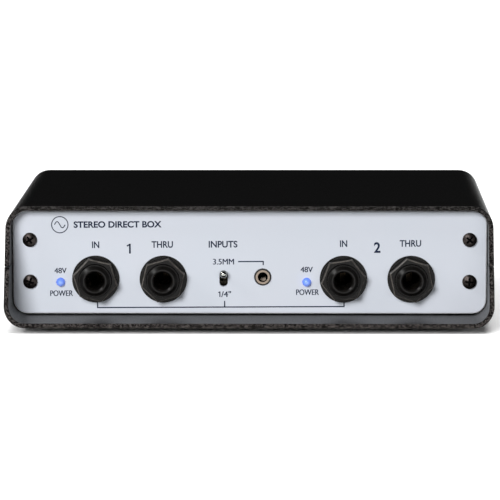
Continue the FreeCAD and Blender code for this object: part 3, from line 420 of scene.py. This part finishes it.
def printed_ink():
    """Matt navy screen ink."""
    ink = Finish("navy_ink", (0.005, 0.012, 0.036), 0.5, specular=0.2)
    ink.tinted(0.5, (0.009, 0.020, 0.055), 0.6)
    ink.worn(0.42, 0.6, 0.8)
    return ink.material


def board_mask():
    """Green solder mask over copper tracks, with a silk of pale dashes."""
    mask = Finish("board_mask", (0.015, 0.15, 0.05), 0.3)
    tracks = mask.add("ShaderNodeTexBrick")
    tracks.inputs["Scale"].default_value = 1 / (9 * MM)
    tracks.inputs["Mortar Size"].default_value = 0.02
    mask.feed(tracks, "Vector", mask.place.outputs["Object"])
    lines = tracks.outputs["Fac"]
    mask.set("Base Color", mask.mix(lines, (0.012, 0.12, 0.04), (0.03, 0.24, 0.09)))
    mask.worn(0.22, 0.34, 5)
    mask.bump(lines, 0.035, 0.8)
    return mask.material


def sleeved_can():
    """Blue sleeve with a pale stripe down one side, and a bare aluminium top."""
    low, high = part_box("electrolytic_capacitors")
    can = Finish("can_sleeve", (0.02, 0.035, 0.14), 0.3)
    top = can.span(can.axis("Z", "Normal"), 0.8, 0.9, 0.0, 1.0)
    stripe = can.span(can.axis("X", "Normal"), 0.86, 0.88, 0.0, 1.0)
    sleeve = can.mix(stripe, can.color, (0.6, 0.65, 0.7))
    can.set("Base Color", can.mix(top, sleeve, (0.7, 0.7, 0.7)))
    can.set("Metallic", top)
    can.worn(0.22, 0.36, 1.5)
    ridge = can.span(can.axis("Z"), low.z + 1.2 * MM, low.z + 1.6 * MM, 0.0, 1.0)
    can.bump(ridge, 0.15, 0.6)
    return can.material


def banded_resistor():
    """Beige lacquer with colour bands along the body."""
    body = Finish("resistor_body", (0.58, 0.45, 0.28), 0.35)
    bands = body.add("ShaderNodeTexWave", bands_direction="X")
    bands.inputs["Scale"].default_value = 1 / (9 * MM)
    bands.inputs["Distortion"].default_value = 0.0
    body.feed(bands, "Vector", body.place.outputs["Object"])
    band = body.span(bands.outputs["Fac"], 0.72, 0.76, 0.0, 1.0)
    tint = body.mix(body.noise(5, 0), (0.35, 0.05, 0.02), (0.05, 0.03, 0.02))
    body.set("Base Color", body.mix(band, body.color, tint))
    body.worn(0.28, 0.42, 1.0)
    return body.material


def laminated_core():
    """Stacked steel sheets: fine lines across the stack, with a thin rust bloom."""
    core = Finish("core_steel", (0.22, 0.21, 0.21), 0.5, metallic=0.8)
    sheets = core.add("ShaderNodeTexWave", bands_direction="Y")
    sheets.inputs["Scale"].default_value = 1 / (1.6 * MM)
    sheets.inputs["Distortion"].default_value = 0.6
    core.feed(sheets, "Vector", core.place.outputs["Object"])
    core.tinted(0.5, (0.16, 0.09, 0.05), 3.0)
    core.worn(0.4, 0.6, 1.5)
    core.bump(sheets.outputs["Fac"], 0.05, 0.6)
    return core.material


def wound_tape():
    """Yellow polyester tape in overlapping turns round the winding."""
    tape = Finish("winding_tape", (0.72, 0.48, 0.06), 0.28)
    turns = tape.add("ShaderNodeTexWave", bands_direction="Z", wave_profile="SAW")
    turns.inputs["Scale"].default_value = 1 / (14 * MM)
    turns.inputs["Distortion"].default_value = 0.3
    tape.feed(turns, "Vector", tape.place.outputs["Object"])
    tape.tinted(0.5, (0.55, 0.32, 0.03), 2.5)
    tape.worn(0.2, 0.36, 1.5)
    tape.bump(turns.outputs["Fac"], 0.06, 0.7)
    return tape.material


def dress_nodes():
    """Give each CAD node its finish, by the words in its name."""
    jack_black = moulded("jack_plastic", (0.0045, 0.004, 0.0036), 0.26, 0.38, specular=0.18)
    finishes = {
        "_shell": case_coat(),
        "_panel": panel_paint(),
        "rubber_feet": moulded("foot_rubber", (0.022, 0.021, 0.02), 0.7, 0.85, 0.3, 0.03),
        "_jack": jack_black,
        "_washer": jack_black,
        "jack_nuts": jack_black,
        # painted shade: the springs deep in the jacks' bores are a darkened bronze, standing in for
        # the shade there
        "_springs": metal("spring_bronze", (0.16, 0.12, 0.085), 0.35, 0.5),
        "mini_jack_body": moulded("mini_plastic", (0.008, 0.007, 0.007), 0.3, 0.45, specular=0.3),
        "mini_jack_ring": metal("ring_nickel", (0.26, 0.21, 0.17), 0.3, 0.42),
        "mini_jack_spring": metal("mini_contact", (0.85, 0.72, 0.6), 0.45, 0.6, metallic=0.3),
        "lamp_leads": metal("tinned_lead", (0.75, 0.75, 0.73), 0.25, 0.4),
        "_lever": metal("lever_chrome", (0.3, 0.31, 0.29), 0.05, 0.12, dull=0.9),
        "_rocker": metal("rocker_silver", (0.78, 0.77, 0.74), 0.2, 0.35),
        # painted shade: the toggle bushings are darkened to the black shade inside their slots
        "toggle_bushings": metal("bushing_painted_shade", (0.10, 0.085, 0.065), 0.25, 0.4),
        "toggle_terminals": metal("terminal_silver", (0.8, 0.79, 0.76), 0.25, 0.4),
        "_housing": moulded("toggle_plastic", (0.02, 0.02, 0.021), 0.4, 0.55),
        "_insert": moulded("outlet_plastic", (0.02, 0.02, 0.02), 0.4, 0.55),
        "_contacts": metal("contact_gold", (0.85, 0.66, 0.35), 0.15, 0.3),
        "circuit_board": board_mask(),
        "_core": laminated_core(),
        "_winding": wound_tape(),
        "electrolytic_capacitors": sleeved_can(),
        "film_capacitors": moulded("film_epoxy", (0.42, 0.035, 0.02), 0.2, 0.32, 0.6, 0.03),
        "resistors": banded_resistor(),
        "amplifier_chips": moulded("chip_epoxy", (0.018, 0.018, 0.019), 0.5, 0.65),
    }
    make_nuts(jack_black, nut_plastic())
    outlet_black = moulded("outlet_enamel", (0.016, 0.016, 0.017), 0.3, 0.42, 0.5, 0.015)
    for name, piece in nodes.items():
        if name in ("lamp_1", "lamp_2"):
            finish = lamp_lens(name)
        elif name.endswith("screws"):
            finish = blackened_screw(name)
        elif name.startswith("outlet") and name.endswith("_shell"):
            finish = outlet_black
        else:
            finish = next(made for word, made in finishes.items() if name.endswith(word))
        piece.data.materials.clear()
        piece.data.materials.append(finish)


# ---------------------------------------------------------------- nuts and threads

NUT_FLATS = 14.0 * MM
NUT_BEVEL = 0.4 * MM
NUT_MOUTH = 0.5 * MM            # depth of the countersink of the nut's hole
NUT_FLARE = 0.22 * MM           # how much wider the hole is at its mouth
NUT_PLAY = 0.08 * MM            # round the bushing
BUSH_RADIUS = 5.65 * MM
NOSE_LENGTH = 1.2 * MM          # the taper in front of the bushing's thread
THREAD_PITCH = 0.8 * MM
THREAD_DEEP = 0.16 * MM
THREAD_CREST = 0.05 * MM        # how far the crests stand outside the bushing
THREAD_LEAD = 0.35 * MM         # length over which the first turn rises
THREAD_START = 0.02 * MM        # clear of the end of the taper
THREAD_ROWS = 20
THREAD_HOLLOW = 0.93            # inner radius of the thread's sleeve, as a share of its outer one
ROUND_STEPS = 96


def loft(name, rings, body, finish, closed=True):
    """A skin over rings of equally many points, the last joined to the first when closed."""
    data = bpy.data.meshes.new(name)
    count = len(rings[0])
    points = [point for ring in rings for point in ring]
    pairs = list(zip(range(len(rings)), range(1, len(rings))))
    if closed:
        pairs.append((len(rings) - 1, 0))
    faces = [(a * count + i, a * count + (i + 1) % count,
              b * count + (i + 1) % count, b * count + i)
             for a, b in pairs for i in range(count)]
    data.from_pydata(points, [], faces)
    mesh = bmesh.new()
    mesh.from_mesh(data)
    bmesh.ops.recalc_face_normals(mesh, faces=mesh.faces)
    mesh.to_mesh(data)
    mesh.free()
    data.shade_smooth()
    data.set_sharp_from_angle(angle=math.radians(28))
    data.materials.append(finish)
    piece = bpy.data.objects.new(name, data)
    scene.collection.objects.link(piece)
    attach(piece, body)
    return piece


def hexagon_reach(angle, flats):
    """Distance from the middle of a hexagon to its outline, with a corner at angle 0."""
    sixth = math.pi / 3
    return flats / 2 / math.cos((angle % sixth) - sixth / 2)


def make_nut(jack, turn, finish):
    """A hexagon nut with broken edges and a countersunk hole, seated on its washer."""
    washer_low, washer_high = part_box(jack + "_washer")
    nuts_low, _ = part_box("jack_nuts")
    spot = (washer_low + washer_high) / 2
    front, back = nuts_low.y, washer_low.y
    hole = BUSH_RADIUS + NUT_PLAY
    sections = [
        (None, hole, back), (None, hole, front + NUT_MOUTH), (None, hole + NUT_FLARE, front),
        (NUT_FLATS - NUT_BEVEL * 2, 0, front), (NUT_FLATS, 0, front + NUT_BEVEL),
        (NUT_FLATS, 0, back),
    ]
    rings = []
    for flats, radius, y in sections:
        ring = []
        for i in range(ROUND_STEPS):
            angle = 2 * math.pi * i / ROUND_STEPS
            reach = hexagon_reach(angle, flats) if flats else radius
            place = angle + math.radians(turn)
            ring.append((spot.x + reach * math.cos(place), y, spot.z + reach * math.sin(place)))
        rings.append(ring)
    return loft(jack + "_nut", rings, "case", finish)


def make_thread(jack, finish):
    """The thread on the length of the jack's bushing that stands out of its nut."""
    spot = centre(jack + "_washer")
    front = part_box(jack + "_jack")[0].y + NOSE_LENGTH - THREAD_START
    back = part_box("jack_nuts")[0].y + NUT_MOUTH
    crest = BUSH_RADIUS + THREAD_CREST
    rings = []
    for row in range(THREAD_ROWS + 1):
        y = front + (back - front) * row / THREAD_ROWS
        lead_in = min(1.0, (y - front) / THREAD_LEAD)
        ring = []
        for i in range(ROUND_STEPS):
            angle = 2 * math.pi * i / ROUND_STEPS
            phase = ((y - front) / THREAD_PITCH + i / ROUND_STEPS) % 1.0
            groove = THREAD_DEEP * (1 - abs(2 * phase - 1))
            reach = crest - groove - THREAD_DEEP * (1 - lead_in)
            ring.append((spot.x + reach * math.cos(angle), y, spot.z + reach * math.sin(angle)))
        rings.append(ring)
    back_hollow, front_hollow = [
        [(spot.x + THREAD_HOLLOW * (x - spot.x), y, spot.z + THREAD_HOLLOW * (z - spot.z))
         for x, y, z in ring]
        for ring in (rings[-1], rings[0])
    ]
    return loft(jack + "_thread", [*rings, back_hollow, front_hollow], "case", finish)


JACK_TURNS = {"input_1": 47, "thru_1": 16, "input_2": 8.5, "thru_2": 42}    # degrees


def make_nuts(thread_finish, nut_finish):
    """Every jack's nut and thread, in place of the plain nuts."""
    for jack, turn in JACK_TURNS.items():
        make_thread(jack, thread_finish)
        nut = make_nut(jack, turn, nut_finish)
    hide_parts("jack_nuts")


# ---------------------------------------------------------------- legends

INK_THICK = 0.04 * MM
INK_SUNK = 0.01 * MM            # how far a legend's back lies in the paint
CAP_SHARE = 0.682               # height of a capital in the built-in face, per unit of size
CAP = 2.23 * MM
SMALL_CAP = 2.0 * MM
SMALL_STEP = 0.12 * MM          # between the two prints of small words
SMALL_SUNK = 0.002 * MM         # the second of them lies this much lower
NUMERAL_CAP = 3.5 * MM
LINE_WIDE = 0.42 * MM
ICON_LINE = 0.34 * MM
PRINT_ASKEW = 0.28              # degrees that the printing is turned on the panel


class Legends:
    """Printed marks on one panel, drawn in its own plane and joined into one thin piece."""

    def __init__(self, name, panel, rear=False):
        self.name = name
        self.mesh = bmesh.new()
        low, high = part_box(panel)
        face = high.y + INK_THICK - INK_SUNK if rear else low.y - INK_THICK + INK_SUNK
        turn = Matrix.Rotation(math.radians(180 if rear else 0), 4, "Z")
        up = Matrix.Rotation(math.radians(90), 4, "X")
        askew = Matrix.Rotation(math.radians(0 if rear else PRINT_ASKEW), 4, "Z")
        first = centre("input_1_washer")
        pivot = Matrix.Translation((first.x, first.z - underside, 0))
        self.to_frame = (Matrix.Translation((0, face, underside)) @ turn @ up
                         @ pivot @ askew @ pivot.inverted())

    def prism(self, corners):
        """A thin plate with this outline, counter-clockwise."""
        front = [self.mesh.verts.new((x, y, 0)) for x, y in corners]
        back = [self.mesh.verts.new((x, y, -INK_THICK)) for x, y in corners]
        self.mesh.faces.new(front)
        self.mesh.faces.new(back[::-1])
        for index, corner in enumerate(front):
            after = (index + 1) % len(front)
            self.mesh.faces.new((corner, back[index], back[after], front[after]))

    def stroke(self, points, wide=LINE_WIDE):
        """A line of even width through the points, with mitred corners."""
        points = [Vector(p) for p in points]
        left, right = [], []
        for index, point in enumerate(points):
            before = (point - points[index - 1]).normalized() if index else None
            after = (points[index + 1] - point).normalized() if index + 1 < len(points) else None
            along = before or after
            if before and after:
                along = (before + after).normalized()
            side = Vector((-along.y, along.x))
            reach = wide / 2
            if before and after:
                reach /= max(0.4, before.dot(along))
            left.append(point + side * reach)
            right.append(point - side * reach)
        self.prism([tuple(p) for p in right + left[::-1]])

    def ring(self, middle, radius, wide, steps=40):
        """A circle drawn as a line of even width."""
        turns = [2 * math.pi * i / steps for i in range(steps)]
        circles = [[(middle[0] + r * math.cos(a), middle[1] + r * math.sin(a)) for a in turns]
                   for r in (radius - wide / 2, radius + wide / 2)]
        rows = [[self.mesh.verts.new((x, y, z)) for x, y in circle]
                for circle, z in ((circles[0], 0), (circles[1], 0),
                                  (circles[1], -INK_THICK), (circles[0], -INK_THICK))]
        for row, other in zip(rows, rows[1:] + rows[:1]):
            for i in range(steps):
                after = (i + 1) % steps
                self.mesh.faces.new((row[i], other[i], other[after], row[after]))

    def text(self, words, middle, cap, wide=None, weight=0.075 * MM, sunk=0):
        """Words centred on a point, cap high; wide sets their whole width, weight thickens."""
        data = bpy.data.curves.new("words", "FONT")
        data.body = words
        data.size = cap / CAP_SHARE
        data.offset = weight
        data.extrude = INK_THICK / 2
        data.resolution_u = 6
        made = bpy.data.objects.new("words", data)
        scene.collection.objects.link(made)
        bpy.context.view_layer.update()
        solid = bpy.data.meshes.new_from_object(made)
        xs = [v.co.x for v in solid.vertices]
        left, right = min(xs), max(xs)
        stretch = wide / (right - left) if wide else 1
        solid.transform(
            Matrix.Translation((middle[0], middle[1] - cap / 2, -INK_THICK / 2 - sunk))
            @ Matrix.Diagonal((stretch, 1, 1, 1))
            @ Matrix.Translation((-(left + right) / 2, 0, 0))
        )
        self.mesh.from_mesh(solid)
        bpy.data.objects.remove(made)

    def small_text(self, words, middle, cap=SMALL_CAP, wide=None):
        """Small words, printed twice a hair apart so that their stems are heavier."""
        x, y = middle
        self.text(words, (x - SMALL_STEP / 2, y), cap, wide, weight=0)
        self.text(words, (x + SMALL_STEP / 2, y), cap, wide, weight=0, sunk=SMALL_SUNK)

    def numeral_one(self, middle, cap, wide):
        """A plain 1 with a short flag, drawn as strokes."""
        x, y = middle
        self.stroke([(x + wide * 0.4, y - cap / 2), (x + wide * 0.4, y + cap / 2)], wide)
        self.stroke([(x - wide * 1.3, y + cap * 0.27), (x + wide * 0.4, y + cap * 0.43)],
                    wide * 0.8)

    def finish(self, ink):
        """Turn the marks onto the panel and make them one piece of the case."""
        data = bpy.data.meshes.new(self.name)
        bmesh.ops.recalc_face_normals(self.mesh, faces=self.mesh.faces)
        self.mesh.to_mesh(data)
        self.mesh.free()
        data.transform(self.to_frame)
        data.materials.append(ink)
        piece = bpy.data.objects.new(self.name, data)
        scene.collection.objects.link(piece)
        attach(piece, "case")


# rows, above the case's underside
TITLE_ROW = 34.0 * MM
HEAD_ROW = 26.75 * MM           # names over the jacks
NUMERAL_ROW = 25.3 * MM
SMALL_ROW = 20.5 * MM           # the small socket's name
QUARTER_ROW = 8.8 * MM          # the big sockets' name
TICK_ROW = 6.38 * MM            # top of the tick under it
LINK_ROW = 4.18 * MM            # the line that joins the two inputs
TITLE_X = -46.6 * MM
ICON_X = -67.1 * MM
ICON_RADIUS = 2.9 * MM
WAVE_HALF = 1.9 * MM
WAVE_RISE = 1.1 * MM
WAVE_STEPS = 24
REAR_NAME_OFF = 6.2 * MM        # a rear name's distance from its toggle
REAR_OUT_ROW = HEAD_ROW + 3.5 * MM


def print_front(ink):
    """Title, names, numerals and the lines that link the selector to its sockets."""
    front = Legends("front_legends", "front_panel")

    def over(node):
        spot = centre(node)
        return spot.x, spot.z - underside

    for channel in (1, 2):
        in_x, _ = over(f"input_{channel}_washer")
        thru_x, _ = over(f"thru_{channel}_washer")
        lamp_x, lamp_z = over(f"lamp_{channel}")
        front.text("IN", (in_x + 0.1 * MM, HEAD_ROW), CAP, 2.6 * MM)
        front.text("THRU", (thru_x - 0.25 * MM, HEAD_ROW), CAP, 7.6 * MM)
        front.small_text("48V", (lamp_x, lamp_z + 4.2 * MM), SMALL_CAP * 0.95, 4.25 * MM)
        front.small_text("POWER", (lamp_x + 0.25 * MM, lamp_z - 3.95 * MM), wide=8.0 * MM)
        middle = ((in_x + thru_x) / 2, NUMERAL_ROW)
        if channel == 1:
            front.numeral_one(middle, NUMERAL_CAP, 0.62 * MM)
        else:
            front.text("2", middle, NUMERAL_CAP, 2.3 * MM, weight=0.13 * MM)

    select_x, _ = over("selector_housing")
    mini_x, mini_z = over("mini_jack_ring")
    front.text("INPUTS", (select_x - 0.1 * MM, HEAD_ROW), CAP, 10.2 * MM)
    front.small_text("3.5MM", (select_x, SMALL_ROW), wide=7.4 * MM)
    front.stroke([(select_x + 5.2 * MM, SMALL_ROW),
                  (mini_x + 0.2 * MM, SMALL_ROW),
                  (mini_x + 0.2 * MM, mini_z + 4.0 * MM)])

    front.numeral_one((select_x - 1.5 * MM, QUARTER_ROW), SMALL_CAP, 0.36 * MM)
    front.small_text('/4"', (select_x + 0.85 * MM, QUARTER_ROW), wide=3.4 * MM)
    in_1, jack_z = over("input_1_washer")
    in_2, _ = over("input_2_washer")
    washer_low = jack_z - 7.5 * MM
    front.stroke([(in_1 + 0.5 * MM, washer_low), (in_1 + 0.5 * MM, LINK_ROW),
                  (in_2 + 0.2 * MM, LINK_ROW), (in_2 + 0.2 * MM, washer_low)])
    front.stroke([(select_x + 0.3 * MM, LINK_ROW), (select_x + 0.3 * MM, TICK_ROW)])

    front.text("STEREO DIRECT BOX", (TITLE_X, TITLE_ROW), 2.1 * MM, 31.2 * MM,
               weight=0.1 * MM)
    front.ring((ICON_X, TITLE_ROW), ICON_RADIUS, ICON_LINE)
    wave = []
    for step in range(WAVE_STEPS + 1):
        share = step / WAVE_STEPS * 2
        wave.append((ICON_X + (share - 1) * WAVE_HALF,
                     TITLE_ROW + math.sin(share * math.pi) * WAVE_RISE))
    front.stroke(wave, ICON_LINE)
    front.finish(ink)


def print_rear(ink):
    """Labels over and under each rear toggle, and a number by each outlet."""
    rear = Legends("rear_legends", "rear_panel", rear=True)
    for channel in (1, 2):
        for toggle, above, below in (("lift", "LIFT", "GND"), ("pad", "PAD", "0DB")):
            spot = centre(f"{toggle}_{channel}_housing")
            across, rise = -spot.x, spot.z - underside
            rear.small_text(above, (across, rise + REAR_NAME_OFF))
            rear.small_text(below, (across, rise - REAR_NAME_OFF))
            if toggle == "lift":
                rear.text(f"OUT {channel}", (across, REAR_OUT_ROW), CAP)
    rear.finish(ink)


# ---------------------------------------------------------------- build

make_camera()
dress_nodes()
ink = printed_ink()
print_front(ink)
print_rear(ink)
make_studio()
